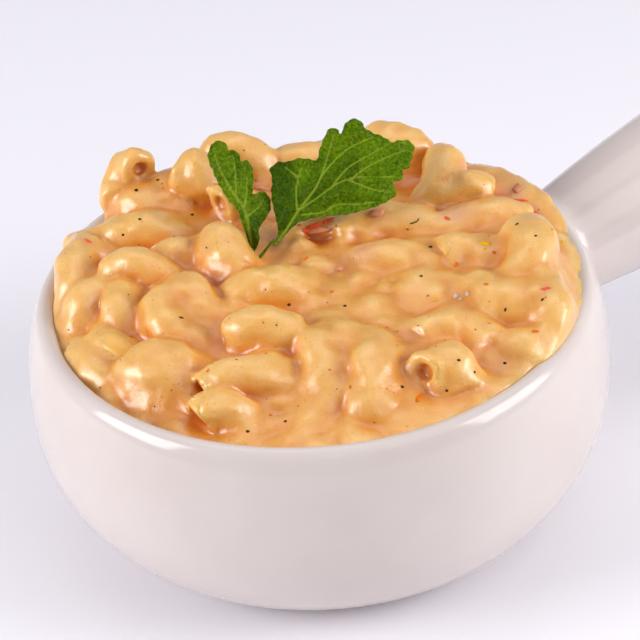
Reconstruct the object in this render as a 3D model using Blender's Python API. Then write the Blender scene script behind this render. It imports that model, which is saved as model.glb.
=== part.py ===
"""Mac and cheese served in a glazed stoneware crock with a stick handle, with two parsley leaves on top.

Run it with: blender --background --python part.py

Solids: the crock with its handle (one fired piece), the heap of sauced macaroni, and the two leaves.
Row frame, in metres: origin at the centre of the crock's flat base, +Z up, handle towards +X.
The food is laid out in a serving frame, with +X to the eater's right and +Y away from the eater,
and is then turned so that the handle ends up on +X. Lengths below are millimetres, angles degrees.
"""

from math import atan2, cos, exp, hypot, pi, radians, sin, sqrt

import bmesh
import bpy
from mathutils import Matrix, Vector

MM = 0.001
GAP = 0.3                      # clearance between solids that touch

# Crock
BASE_RADIUS = 38.0             # flat the crock stands on
BELLY_RADIUS = 65.0
BELLY_HEIGHT = 35.0
RIM_HEIGHT = 55.4              # highest line of the lip
RIM_RADIUS = 60.0              # radius of that line
LIP_ROUND = 2.6                # rounding from the top of the lip to the inner wall
WALL = 5.2                     # wall thickness at the belly
FLOOR = 6.0                    # thickness of the floor
FLOOR_RADIUS = 34.0            # flat part of the inside
BELLY_FLAT = 2.2               # superellipse power along the height, below the belly
BELLY_FULL = 1.64              # superellipse power along the radius, below the belly
TURN_STEPS = 72                # facets round the crock

# Handle, a flared stick that rises a little from the wall
HANDLE_RISE = 10.3             # degrees above the horizontal
HANDLE_START = 62.5            # distance of the root from the crock's axis, inside the wall
HANDLE_ROOT_HEIGHT = 38.0      # height of the handle's axis at the root
HANDLE_LENGTH = 68.0
HANDLE_ROOT_RADIUS = 11.9
HANDLE_FLARE = 0.16            # radius gained per length, at the root
HANDLE_EASE = 0.0011           # how the flare eases off along the length
HANDLE_CAP = 10.0              # length of the rounded end
HANDLE_STEPS = 28

# Heap of sauced macaroni
HANDLE_BEARING = 30.0          # bearing of the handle in the serving frame, from the eater's right
EDGE_LEVEL = 53.5              # mean height of the food at the wall
EDGE_TILT = 2.5                # the food reaches that much higher at the wall at its highest
EDGE_BEARING = 80.0            # where that is, in the serving frame
MOUND_RISE = 9.0               # how far the middle of the mound stands above its edge
MOUND_POWER = 2.2
LUMP_RADIUS = 6.4              # a sauced macaroni that lies on the mound
LUMP_HALF = 5.0                # half of its straight length
LUMP_BLEND = 1.6               # fillet of sauce between lumps and mound
HEAP_SECTORS = 72
HEAP_RINGS = 17
HEAP_SIDE_RINGS = 7

# Macaroni that stand out of the sauce: x, y, top height, bearing of the length
LUMPS = (
    (-41, 37, 69, 10), (-38, 34, 65, -35), (-30, 37, 66, -35), (-30, 33, 65, -55), (-25, 34, 70, -22),
    (-16, 26, 66, 40), (-37, 20, 66, -4), (-49, 19, 62, -30), (-52, 8, 63, -92), (-38, 3, 66, -20),
    (-42, -7, 62, -81), (-29, -12, 65, -60), (-28, 8, 64, 10), (-19, 6, 68, -75), (-10, -9, 66, -6),
    (-11, -23, 65, -8), (-49, -4, 60, 67), (-33, -29, 62, -8), (-44, -18, 59, -42), (-48, -20, 57, -64),
    (-15, -36, 61, 9), (-20, -44, 58, -7), (-8, -42, 54, -8), (0, -33, 62, -85), (11, -37, 62, -90),
    (26, -39, 63, 3), (30, -26, 62, -7), (20, 0, 64, -7), (34, 0, 64, -5), (47, -5, 68, -104),
    (50, -19, 64, -80), (44, -19, 64, -30), (37, -15, 64, -83), (22, 40, 70, -21), (31, 27, 69, -109),
    (36, 21, 67, 0), (-14, 43, 69, -20), (2, 42, 66, -15), (15, -44, 56, -3), (29, -43, 56, 11),
    (18, 14, 66, 2), (5, 13, 66, -9), (47, -29, 60, 24), (39, 14, 65, 3), (46, 28, 62, -48),
)

# Parsley: a leaf is a star of lobes round a hub, in the leaf's own plane
LEAF_LEAN = 34.0               # degrees the leaves lean back from the vertical
LEAF_THICKNESS = 0.8
LEAF_RINGS = 3
LEAF_SPOKES = 54
LEAF_CORE = 1.4                # least reach of the blade round its hub
TOOTH_DEPTH = 0.07             # depth of the teeth, as a share of the reach
TOOTH_SPACING = 9.0            # degrees from one tooth to the next
# foot x, y in the serving frame and its lift off the heap; hub right of and above the foot; cup; fold along the
# rib's angle; lobes: angle, reach, half spread
LEAVES = {
    "parsley_leaf_right": {
        "foot": (-7.4, 3.4), "lift": 1.2, "hub": (5.2, 9.0), "cup": 0.010, "fold": 0.18, "rib": 50.0,
        "lobes": ((26, 31, 26), (54, 26, 17), (68, 20, 9), (108, 12.5, 50), (235, 10.5, 22)),
    },
    "parsley_leaf_left": {
        "foot": (-12.2, 4.6), "lift": 2.8, "hub": (-2.8, 11.4), "cup": 0.010, "fold": 0.55, "rib": 118.0,
        "lobes": ((122, 15, 16), (104, 12, 12), (87, 9, 13), (-5, 6.5, 45), (-76, 11.4, 28)),
    },
}


def clear_scene():
    """Start from an empty scene."""
    for old in list(bpy.data.objects):
        bpy.data.objects.remove(old, do_unlink=True)


def material(name, color, roughness):
    """A plain Principled material."""
    made = bpy.data.materials.new(name)
    made.use_nodes = True
    shader = made.node_tree.nodes["Principled BSDF"]
    shader.inputs["Base Color"].default_value = (*color, 1.0)
    shader.inputs["Roughness"].default_value = roughness
    shader.inputs["Metallic"].default_value = 0.0
    return made


def mesh_object(name, points, faces, finish=None):
    """A linked object from points in millimetres and faces."""
    mesh = bpy.data.meshes.new(name)
    mesh.from_pydata([Vector(point) * MM for point in points], [], faces)
    mesh.update()
    made = bpy.data.objects.new(name, mesh)
    bpy.context.scene.collection.objects.link(made)
    if finish:
        mesh.materials.append(finish)
    return made


def lower_radius(height, foot_radius, belly_radius, foot_height):
    """Radius of the rounded bottom at a height between its foot and the belly."""
    climb = 1.0 - (height - foot_height) / (BELLY_HEIGHT - foot_height)
    share = max(0.0, 1.0 - climb ** BELLY_FLAT) ** (1.0 / BELLY_FULL)
    return foot_radius + (belly_radius - foot_radius) * share


def inner_radius(height):
    """Radius of the crock's rounded inner wall at a height above its floor."""
    belly = BELLY_RADIUS - WALL
    mouth = RIM_RADIUS - LIP_ROUND
    mouth_height = RIM_HEIGHT - LIP_ROUND
    if height < BELLY_HEIGHT:
        return lower_radius(height, FLOOR_RADIUS, belly, FLOOR)
    rise = min(1.0, (height - BELLY_HEIGHT) / (mouth_height - BELLY_HEIGHT))
    return mouth + (belly - mouth) * (1.0 - rise * rise)


def inner_wall():
    """Half section of the inside, from the edge of the floor up to the mouth."""
    mouth_height = RIM_HEIGHT - LIP_ROUND
    heights = [FLOOR + share * (BELLY_HEIGHT - FLOOR) for share in (0.0, 0.02, 0.08, 0.18, 0.32, 0.5, 0.74)]
    heights += [BELLY_HEIGHT + share * (mouth_height - BELLY_HEIGHT) for share in (0.0, 0.4, 0.7, 0.9, 1.0)]
    return [(inner_radius(height), height) for height in heights]


def faceted_wall_radius(height, wall):
    """Radius of the inside as it is built, between the points of its half section."""
    for (low_radius, low), (high_radius, high) in zip(wall, wall[1:]):
        if height <= high:
            return low_radius + (high_radius - low_radius) * (height - low) / (high - low)
    return wall[-1][0]


def food_side_radius(height, wall):
    """Radius of the food at a height, clear of the wall level with it and just above and below it."""
    below = faceted_wall_radius(max(FLOOR, height - GAP), wall)
    above = faceted_wall_radius(height + GAP, wall)
    return min(below, above) - GAP


def crock_profile():
    """Half section of the crock, from the middle of its floor over the lip to the middle of its base."""
    points = [(0.0, FLOOR)] + inner_wall()
    for step in range(1, 5):
        turn = pi * 0.5 * step / 4
        radius = RIM_RADIUS - LIP_ROUND * cos(turn)
        points.append((radius, RIM_HEIGHT - LIP_ROUND * (1.0 - sin(turn))))
    for step in range(6):
        turn = pi * 0.5 * (1.0 - (step + 1) / 6)
        radius = RIM_RADIUS + (BELLY_RADIUS - RIM_RADIUS) * cos(turn)
        points.append((radius, BELLY_HEIGHT + (RIM_HEIGHT - BELLY_HEIGHT) * sin(turn)))
    for share in (0.8, 0.62, 0.46, 0.32, 0.2, 0.11, 0.05, 0.015, 0.0):
        height = share * BELLY_HEIGHT
        points.append((lower_radius(height, BASE_RADIUS, BELLY_RADIUS, 0.0), height))
    return points + [(0.0, 0.0)]


def turned(name, profile, steps):
    """A solid turned round its own Z axis from a half section of (radius, height) points."""
    points = [(radius, 0.0, height) for radius, height in profile]
    mesh = bpy.data.meshes.new(name)
    edges = [(index, index + 1) for index in range(len(points) - 1)]
    mesh.from_pydata([Vector(point) * MM for point in points], edges, [])
    made = bpy.data.objects.new(name, mesh)
    bpy.context.scene.collection.objects.link(made)
    screw = made.modifiers.new("Turn", "SCREW")
    screw.steps = steps
    screw.render_steps = steps
    screw.use_merge_vertices = True
    screw.merge_threshold = 0.00001
    screw.use_normal_calculate = True
    return made


def handle_profile():
    """Half section of the handle, from the middle of its rounded end back to its root."""
    def radius(along):
        return HANDLE_ROOT_RADIUS + HANDLE_FLARE * along - HANDLE_EASE * along * along

    shoulder = HANDLE_LENGTH - HANDLE_CAP
    points = []
    for step in range(7):
        turn = pi * 0.5 * step / 6
        points.append((radius(shoulder) * sin(turn) ** 0.8, shoulder + HANDLE_CAP * cos(turn) ** 0.8))
    for step in range(1, 7):
        along = shoulder * (1.0 - step / 6)
        points.append((radius(along), along))
    return points + [(0.0, 0.0)]


def make_crock():
    """The crock and its handle, joined into one fired piece."""
    crock = turned("bowl", crock_profile(), TURN_STEPS)
    handle = turned("handle_form", handle_profile(), HANDLE_STEPS)
    handle.location = Vector((HANDLE_START * cos(radians(HANDLE_RISE)), 0.0, HANDLE_ROOT_HEIGHT)) * MM
    handle.rotation_euler = (0.0, radians(90.0 - HANDLE_RISE), 0.0)
    handle.hide_render = True
    handle.display_type = "WIRE"
    join = crock.modifiers.new("Handle", "BOOLEAN")
    join.operation = "UNION"
    join.solver = "EXACT"
    join.object = handle
    crock.data.materials.append(material("white_glaze", (0.86, 0.81, 0.78), 0.14))
    return crock


def lump_height(x, y, lump, ground):
    """Height above a point of one lying macaroni, which runs out into the ground round it."""
    over, beyond, top, bearing = x - lump[0], y - lump[1], lump[2], radians(lump[3])
    along = over * cos(bearing) + beyond * sin(bearing)
    aside = -over * sin(bearing) + beyond * cos(bearing)
    share = min(1.0, hypot(aside, max(0.0, abs(along) - LUMP_HALF)) / LUMP_RADIUS)
    return ground + (top - ground) * (1.0 - share ** 2.4)


def smooth_top(low, high, blend):
    """The higher of two heights, with a rounded meeting."""
    mix = max(blend - abs(low - high), 0.0) / blend
    return max(low, high) + mix * mix * blend * 0.25


def edge_level(x, y):
    """Height of the food where it meets the wall, on the bearing of a point."""
    return EDGE_LEVEL + EDGE_TILT * cos(atan2(y, x) - radians(EDGE_BEARING))


def heap_height(x, y):
    """Top of the heap above a point of the serving frame."""
    mouth = RIM_RADIUS - LIP_ROUND
    share = min(1.0, hypot(x, y) / mouth)
    edge = edge_level(x, y)
    mound = edge + MOUND_RISE * (1.0 - share ** MOUND_POWER)
    height = mound
    for lump in LUMPS:
        if hypot(x - lump[0], y - lump[1]) < LUMP_HALF + LUMP_RADIUS:
            height = smooth_top(height, lump_height(x, y, lump, mound), LUMP_BLEND)
    settle = exp(-((1.0 - share) / 0.06) ** 2)
    return height + (min(height, edge + 2.0) - height) * settle


def make_heap():
    """The food: an uneven top, sides that follow the crock's inner wall, and a flat underside."""
    points = [(0.0, 0.0, heap_height(0.0, 0.0))]
    bottom = FLOOR + GAP
    for ring in range(1, HEAP_RINGS + 1):
        for sector in range(HEAP_SECTORS):
            bearing = 2.0 * pi * sector / HEAP_SECTORS
            radius = (RIM_RADIUS - LIP_ROUND - GAP) * ring / HEAP_RINGS
            x, y = radius * cos(bearing), radius * sin(bearing)
            points.append((x, y, heap_height(x, y)))
    rim = points[-HEAP_SECTORS:]
    wall = inner_wall()
    for ring in range(HEAP_SIDE_RINGS):
        drop = sin(pi * 0.5 * ring / (HEAP_SIDE_RINGS - 1))
        for x, y, top in rim:
            neck = min(top, RIM_HEIGHT - LIP_ROUND) - GAP
            height = neck + (bottom - neck) * drop
            grow = food_side_radius(height, wall) / hypot(x, y)
            points.append((x * grow, y * grow, height))
    points.append((0.0, 0.0, bottom))
    faces = []
    rings = HEAP_RINGS + HEAP_SIDE_RINGS
    for sector in range(HEAP_SECTORS):
        after = (sector + 1) % HEAP_SECTORS
        faces.append((0, 1 + sector, 1 + after))
        for ring in range(rings - 1):
            near, far = 1 + ring * HEAP_SECTORS, 1 + (ring + 1) * HEAP_SECTORS
            faces.append((near + sector, far + sector, far + after, near + after))
        last = 1 + (rings - 1) * HEAP_SECTORS
        faces.append((len(points) - 1, last + after, last + sector))
    heap = mesh_object("mac_and_cheese", points, faces, material("cheese_sauce", (0.78, 0.36, 0.11), 0.3))
    heap.rotation_euler = (0.0, 0.0, radians(-HANDLE_BEARING))
    return heap


def leaf_reach(angle, lobes):
    """How far the blade reaches from its hub at an angle in degrees."""
    reach = LEAF_CORE
    for middle, length, spread in lobes:
        off = abs((angle - middle + 180.0) % 360.0 - 180.0) / spread
        if off < 1.0:
            reach = max(reach, LEAF_CORE + (length - LEAF_CORE) * sqrt(1.0 - off ** 1.6))
    tooth = abs((angle / TOOTH_SPACING) % 1.0 - 0.5) * 2.0
    return reach * (1.0 - TOOTH_DEPTH * tooth)


def make_leaf(name, leaf, finish):
    """A parsley leaf: a toothed, folded and cupped blade that leans back over the food."""
    hub_x, hub_y = leaf["hub"]
    rib = radians(leaf["rib"])
    foot_x, foot_y = leaf["foot"]
    foot = Vector((foot_x, foot_y, heap_height(foot_x, foot_y) + leaf["lift"]))
    right = Vector((1.0, 0.0, 0.0))
    up = Vector((0.0, sin(radians(LEAF_LEAN)), cos(radians(LEAF_LEAN))))
    facing = right.cross(up)

    def place(u, v, side):
        aside = (v - hub_y) * cos(rib) - (u - hub_x) * sin(rib)
        raised = leaf["fold"] * sqrt(aside * aside + 1.0) - leaf["cup"] * ((u - hub_x) ** 2 + (v - hub_y) ** 2)
        return foot + right * u + up * v + facing * (raised + side * LEAF_THICKNESS * 0.5)

    points = []
    for side in (1.0, -1.0):
        points.append(place(hub_x, hub_y, side))
        for ring in range(1, LEAF_RINGS + 1):
            for spoke in range(LEAF_SPOKES):
                angle = 360.0 * spoke / LEAF_SPOKES
                reach = leaf_reach(angle, leaf["lobes"]) * ring / LEAF_RINGS
                points.append(place(hub_x + reach * cos(radians(angle)), hub_y + reach * sin(radians(angle)), side))
    half = 1 + LEAF_RINGS * LEAF_SPOKES
    faces = []
    for spoke in range(LEAF_SPOKES):
        after = (spoke + 1) % LEAF_SPOKES
        faces.append((0, 1 + spoke, 1 + after))
        faces.append((half, half + 1 + after, half + 1 + spoke))
        for ring in range(LEAF_RINGS - 1):
            near, far = 1 + ring * LEAF_SPOKES, 1 + (ring + 1) * LEAF_SPOKES
            faces.append((near + spoke, far + spoke, far + after, near + after))
            faces.append((half + near + spoke, half + near + after, half + far + after, half + far + spoke))
        rim = 1 + (LEAF_RINGS - 1) * LEAF_SPOKES
        faces.append((rim + spoke, half + rim + spoke, half + rim + after, rim + after))
    made = mesh_object(name, points, faces, finish)
    made.rotation_euler = (0.0, 0.0, radians(-HANDLE_BEARING))
    return made


def shade(made):
    """Round surfaces shaded smooth, with the sharp edges kept."""
    made.data.shade_smooth()
    made.data.set_sharp_from_angle(angle=radians(40.0))


def main():
    clear_scene()
    make_crock()
    shade(make_heap())
    green = material("parsley", (0.09, 0.22, 0.02), 0.4)
    for name, leaf in LEAVES.items():
        shade(make_leaf(name, leaf, green))


main()
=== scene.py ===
"""Looks of the mac and cheese: crock, sauce, macaroni, flecks and parsley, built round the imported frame.

Lengths are in millimetres and angles in degrees until a mesh is made; the frame itself is in metres.
The food is laid out in the serving frame (+X to the eater's right, +Y away from the eater) and then
turned by -HANDLE_BEARING, which puts the handle on +X as in the frame.
"""

from math import cos, hypot, pi, radians, sin, sqrt, tan

import bmesh
import bpy
import numpy as np
from mathutils import Matrix, Vector, noise
from mathutils.bvhtree import BVHTree


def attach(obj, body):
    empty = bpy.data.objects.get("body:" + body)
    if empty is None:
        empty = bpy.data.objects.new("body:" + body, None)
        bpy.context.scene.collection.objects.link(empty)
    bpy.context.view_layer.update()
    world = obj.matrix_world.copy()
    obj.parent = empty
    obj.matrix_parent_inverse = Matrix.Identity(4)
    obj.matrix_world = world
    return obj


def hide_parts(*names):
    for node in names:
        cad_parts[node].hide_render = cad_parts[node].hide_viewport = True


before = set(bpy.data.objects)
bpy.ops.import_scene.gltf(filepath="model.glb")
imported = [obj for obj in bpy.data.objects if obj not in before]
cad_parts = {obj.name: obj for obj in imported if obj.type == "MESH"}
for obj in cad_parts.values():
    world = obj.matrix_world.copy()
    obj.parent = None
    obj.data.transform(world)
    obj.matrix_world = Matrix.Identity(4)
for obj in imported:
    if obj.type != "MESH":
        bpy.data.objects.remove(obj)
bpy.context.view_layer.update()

MM = 0.001
HANDLE_BEARING = 30.0
TURN = Matrix.Rotation(radians(-HANDLE_BEARING), 4, "Z")
SEED = 41

# ---------------------------------------------------------------- sizes read from the frame


def measure_crock():
    """The driving sizes of the crock, from its CAD node, in millimetres."""
    points = np.array([v.co[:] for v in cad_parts["bowl"].data.vertices]) / MM
    away = points[points[:, 0] < 0.0]
    radius = np.hypot(away[:, 0], away[:, 1])
    top = away[:, 2].max()
    wide = radius > radius.max() - 0.05
    foot = (away[:, 2] < 0.01) & (radius > 1.0)
    return {
        "belly": radius.max(),
        "belly_height": away[wide, 2].mean(),
        "rim": radius[away[:, 2] > top - 0.01].mean(),
        "rim_height": top,
        "base": radius[foot].max(),
        "reach": points[:, 0].max(),
        "handle_top": points[:, 2].max(),
    }


CROCK = measure_crock()
LIP = 2.6                      # rounding from the lip to the inner wall
WALL = 5.2
FLOOR = 6.0
FLOOR_RADIUS = 34.0
MOUTH = CROCK["rim"] - LIP
MOUTH_HEIGHT = CROCK["rim_height"] - LIP

# ---------------------------------------------------------------- small helpers


def link(made):
    bpy.context.scene.collection.objects.link(made)
    return made


def mesh_piece(name, points, faces, finish, serving=True):
    """A smooth mesh piece from points in millimetres, riding on the one body."""
    mesh = bpy.data.meshes.new(name)
    co = np.asarray(points, np.float64) * MM
    mesh.from_pydata(co.tolist(), [], faces if isinstance(faces, list) else faces.tolist())
    if serving:
        mesh.transform(TURN)
    mesh.update()
    mesh.shade_smooth()
    made = link(bpy.data.objects.new(name, mesh))
    mesh.materials.append(finish)
    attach(made, "root")
    return made


def point_values(mesh, name, values):
    """Store one number per vertex for a material to read."""
    layer = mesh.attributes.new(name, "FLOAT", "POINT")
    layer.data.foreach_set("value", np.asarray(values, np.float32))


class Nodes:
    """A short way to write a Principled material's node tree."""

    def __init__(self, name):
        self.material = bpy.data.materials.new(name)
        self.material.use_nodes = True
        self.tree = self.material.node_tree
        self.shader = self.tree.nodes["Principled BSDF"]
        self.where = self.add("ShaderNodeTexCoord").outputs["Object"]

    def add(self, kind, **settings):
        node = self.tree.nodes.new(kind)
        for key, value in settings.items():
            setattr(node, key, value)
        return node

    def feed(self, socket, value):
        if isinstance(value, bpy.types.NodeSocket):
            self.tree.links.new(value, socket)
        else:
            socket.default_value = value

    def set(self, **values):
        for key, value in values.items():
            self.feed(self.shader.inputs[key.replace("_", " ")], value)

    def noise(self, size_mm, detail=2.0, rough=0.5, offset=0.0, stretch=(1.0, 1.0, 1.0)):
        place = self.add("ShaderNodeMapping")
        self.feed(place.inputs["Vector"], self.where)
        place.inputs["Location"].default_value = (offset, offset * 0.7, -offset)
        place.inputs["Scale"].default_value = stretch
        made = self.add("ShaderNodeTexNoise")
        self.feed(made.inputs["Vector"], place.outputs["Vector"])
        made.inputs["Scale"].default_value = 1.0 / (size_mm * MM)
        made.inputs["Detail"].default_value = detail
        made.inputs["Roughness"].default_value = rough
        return made.outputs["Fac"]

    def read(self, name):
        return self.add("ShaderNodeAttribute", attribute_name=name).outputs["Fac"]

    def ramp(self, fac, *stops):
        made = self.add("ShaderNodeValToRGB")
        line = made.color_ramp
        while len(line.elements) < len(stops):
            line.elements.new(0.5)
        for element, (place, color) in zip(line.elements, stops):
            element.position = place
            element.color = (*color, 1.0) if isinstance(color, tuple) else (color, color, color, 1.0)
        self.feed(made.inputs["Fac"], fac)
        return made.outputs["Color"]

    def mix(self, fac, first, second, how="MIX"):
        made = self.add("ShaderNodeMix", data_type="RGBA", blend_type=how)
        self.feed(made.inputs[0], fac)
        self.feed(made.inputs[6], first if not isinstance(first, tuple) else (*first, 1.0))
        self.feed(made.inputs[7], second if not isinstance(second, tuple) else (*second, 1.0))
        return made.outputs[2]

    def math(self, how, first, second=0.0, clamp=False):
        made = self.add("ShaderNodeMath", operation=how, use_clamp=clamp)
        self.feed(made.inputs[0], first)
        self.feed(made.inputs[1], second)
        return made.outputs[0]

    def bump(self, height, depth_mm, strength=1.0):
        made = self.add("ShaderNodeBump")
        made.inputs["Strength"].default_value = strength
        made.inputs["Distance"].default_value = depth_mm * MM
        self.feed(made.inputs["Height"], height)
        self.feed(self.shader.inputs["Normal"], made.outputs["Normal"])


# ---------------------------------------------------------------- materials


def glaze_material():
    m = Nodes("crock_glaze")
    tint = m.ramp(m.noise(26.0, 3.0), (0.3, (0.680, 0.603, 0.575)), (0.7, (0.720, 0.648, 0.620)))
    m.set(Base_Color=tint, Specular_IOR_Level=0.5, Subsurface_Weight=0.08, Subsurface_Scale=0.002)
    m.shader.inputs["Subsurface Radius"].default_value = (1.0, 0.8, 0.7)
    m.feed(m.shader.inputs["Roughness"], m.ramp(m.noise(9.0, 2.0, offset=3.0), (0.3, 0.12), (0.7, 0.19)))
    m.bump(m.noise(7.0, 1.0, offset=7.0), 0.06, 0.25)
    return m.material


def sauce_material():
    m = Nodes("cheese_sauce")
    crest_and_crease_shade = m.read("crest_and_crease_shade")
    body = m.ramp(m.noise(11.0, 3.0), (0.3, (0.785, 0.337, 0.038)), (0.7, (0.810, 0.388, 0.064)))
    pale = m.ramp(m.noise(5.0, 2.0, offset=2.0), (0.3, (0.855, 0.485, 0.110)), (0.7, (0.880, 0.550, 0.170)))
    # Painted light and shade: the sauce is paler on convex crests and a darker, more saturated orange down in the
    # creases. This is partly its own tone, thin over the crests and thick in the creases, and partly painted shade.
    color = m.mix(m.ramp(crest_and_crease_shade, (0.44, 0.0), (0.74, 1.0)), body, pale)
    color = m.mix(m.ramp(crest_and_crease_shade, (0.26, 1.0), (0.47, 0.0)), color, (0.740, 0.265, 0.012))
    color = m.mix(m.ramp(crest_and_crease_shade, (0.04, 1.0), (0.26, 0.0)), color, (0.620, 0.125, 0.001))
    color = m.mix(m.math("MULTIPLY", m.read("bare"), 0.55), color, (0.860, 0.500, 0.110))
    # Inside the open ends the sauce is tinted a darker orange: its own colour there, with painted shade of the
    # hollow.
    color = m.mix(m.math("MULTIPLY", m.read("bore"), 0.85), color, (0.640, 0.150, 0.002))
    color = m.mix(m.math("MULTIPLY", m.read("stain"), 0.55), color, (0.640, 0.230, 0.130))
    speckle = m.ramp(m.noise(0.55, 1.0, offset=9.0), (0.64, 0.0), (0.74, 0.5))
    color = m.mix(speckle, color, (0.650, 0.250, 0.040))
    m.set(Base_Color=color, Subsurface_Weight=0.75, Subsurface_Scale=0.0014, Specular_IOR_Level=0.8)
    m.shader.inputs["Subsurface Radius"].default_value = (1.0, 0.7, 0.25)
    m.feed(m.shader.inputs["Roughness"], m.ramp(m.noise(6.0, 3.0, offset=5.0), (0.3, 0.34), (0.7, 0.46)))
    m.set(Coat_Weight=1.0, Coat_Roughness=0.30)
    fine = m.mix(0.45, m.noise(2.6, 3.0, offset=1.0), m.noise(0.7, 2.0, offset=4.0))
    m.bump(fine, 0.34, 0.7)
    return m.material


def pasta_material():
    m = Nodes("macaroni")
    color = m.ramp(m.noise(6.0, 3.0), (0.3, (0.830, 0.450, 0.090)), (0.7, (0.870, 0.530, 0.150)))
    m.set(Base_Color=color, Subsurface_Weight=0.3, Subsurface_Scale=0.0008, Specular_IOR_Level=0.5)
    m.shader.inputs["Subsurface Radius"].default_value = (1.0, 0.7, 0.3)
    m.feed(m.shader.inputs["Roughness"], m.ramp(m.noise(3.0, 2.0, offset=5.0), (0.3, 0.26), (0.7, 0.38)))
    m.bump(m.noise(1.2, 2.0, offset=4.0), 0.08, 0.5)
    return m.material


def cloth_material():
    m = Nodes("pale_table")
    m.set(Base_Color=(0.925, 0.915, 0.975, 1.0), Roughness=0.9, Specular_IOR_Level=0.1)
    return m.material


def plain_material(name, low, high, size_mm, roughness, scatter=0.3):
    m = Nodes(name)
    m.set(Specular_IOR_Level=0.08)
    m.set(Base_Color=m.ramp(m.noise(size_mm, 3.0), (0.3, low), (0.7, high)), Roughness=roughness)
    m.set(Subsurface_Weight=scatter, Subsurface_Scale=0.0008)
    m.bump(m.noise(size_mm * 0.4, 2.0, offset=2.0), 0.06, 0.5)
    return m.material


def leaf_material():
    m = Nodes("parsley_leaf")
    patch = m.ramp(m.noise(4.0, 4.0), (0.3, (0.030, 0.088, 0.0005)), (0.7, (0.150, 0.255, 0.001)))
    cells = m.ramp(m.noise(0.7, 3.0, offset=3.0), (0.35, 0.0), (0.65, 1.0))
    color = m.mix(0.50, patch, m.mix(cells, (0.018, 0.062, 0.0005), (0.185, 0.315, 0.002)))
    # Painted shade: darker green on the right blade's folded-back flap and middle fold, and low on the left blade.
    color = m.mix(m.math("MULTIPLY", m.read("leaf_shade"), 0.72), color, (0.010, 0.042, 0.0005))
    net = m.add("ShaderNodeTexVoronoi", feature="DISTANCE_TO_EDGE")
    m.feed(net.inputs["Vector"], m.where)
    net.inputs["Scale"].default_value = 1.0 / (1.3 * MM)
    lines = m.ramp(net.outputs["Distance"], (0.0, 1.0), (0.10, 0.0))
    color = m.mix(m.math("MULTIPLY", lines, 0.30), color, (0.130, 0.230, 0.003))
    color = m.mix(m.math("MULTIPLY", m.read("vein"), 0.75), color, (0.300, 0.400, 0.030))
    m.set(Base_Color=color, Roughness=0.30, Specular_IOR_Level=0.06, Subsurface_Weight=0.15)
    m.set(Subsurface_Scale=0.0008)
    m.shader.inputs["Subsurface Radius"].default_value = (0.5, 1.0, 0.1)
    relief = m.mix(0.5, m.noise(1.1, 3.0, offset=6.0), m.ramp(net.outputs["Distance"], (0.0, 0.0), (0.25, 1.0)))
    m.bump(relief, 0.32, 1.0)
    return m.material


# ---------------------------------------------------------------- crock


def bowl_bottom(height, foot_radius, belly_radius, foot_height):
    """Radius of the rounded bottom of the crock, outside or inside."""
    climb = 1.0 - (height - foot_height) / (CROCK["belly_height"] - foot_height)
    share = max(0.0, 1.0 - climb ** 2.2) ** (1.0 / 1.64)
    return foot_radius + (belly_radius - foot_radius) * share


def inner_radius(height):
    belly = CROCK["belly"] - WALL
    if height < CROCK["belly_height"]:
        return bowl_bottom(max(height, FLOOR), FLOOR_RADIUS, belly, FLOOR)
    rise = min(1.0, (height - CROCK["belly_height"]) / (MOUTH_HEIGHT - CROCK["belly_height"]))
    return MOUTH + (belly - MOUTH) * (1.0 - rise * rise)


def outer_radius(height):
    if height < CROCK["belly_height"]:
        return bowl_bottom(max(height, 0.0), CROCK["base"], CROCK["belly"], 0.0)
    rise = min(1.0, (height - CROCK["belly_height"]) / (CROCK["rim_height"] - CROCK["belly_height"]))
    return CROCK["rim"] + (CROCK["belly"] - CROCK["rim"]) * sqrt(1.0 - rise * rise)


def crock_section():
    """Half section from the middle of the floor, over the lip, to the middle of the base."""
    belly_height = CROCK["belly_height"]
    section = [(0.0, FLOOR)]
    for step in range(19):
        height = FLOOR + (belly_height - FLOOR) * (step / 18) ** 1.9
        section.append((inner_radius(height), height))
    for step in range(1, 11):
        height = belly_height + (MOUTH_HEIGHT - belly_height) * step / 10
        section.append((inner_radius(height), height))
    for step in range(1, 13):
        turn = pi * 0.5 * step / 12
        section.append((CROCK["rim"] - LIP * cos(turn), MOUTH_HEIGHT + LIP * sin(turn)))
    for step in range(1, 19):
        turn = pi * 0.5 * (1.0 - step / 18)
        height = belly_height + (CROCK["rim_height"] - belly_height) * sin(turn)
        section.append((outer_radius(height), height))
    for step in range(1, 27):
        height = belly_height * (1.0 - step / 26) ** 1.6
        section.append((outer_radius(height), height))
    return section + [(0.0, 0.0)]


def turned_faces(section, steps):
    """Points and faces of a closed solid turned from a half section that starts and ends on the axis."""
    points = [(0.0, 0.0, section[0][1])]
    for radius, height in section[1:-1]:
        for step in range(steps):
            turn = 2.0 * pi * step / steps
            points.append((radius * cos(turn), radius * sin(turn), height))
    points.append((0.0, 0.0, section[-1][1]))
    rings = len(section) - 2
    faces = []
    for step in range(steps):
        after = (step + 1) % steps
        faces.append((0, 1 + step, 1 + after))
        for ring in range(rings - 1):
            near, far = 1 + ring * steps, 1 + (ring + 1) * steps
            faces.append((near + step, far + step, far + after, near + after))
        last = 1 + (rings - 1) * steps
        faces.append((len(points) - 1, last + after, last + step))
    return points, faces


HANDLE_RISE = 10.3
HANDLE_START = 62.5
HANDLE_ROOT_HEIGHT = 38.0
HANDLE_LENGTH = 68.0
HANDLE_CAP = 10.0
HANDLE_FILLET = 5.0            # glaze and clay that fill the corner between handle and wall


def handle_radius(along):
    return 11.9 + 0.16 * along - 0.0011 * along * along


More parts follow.
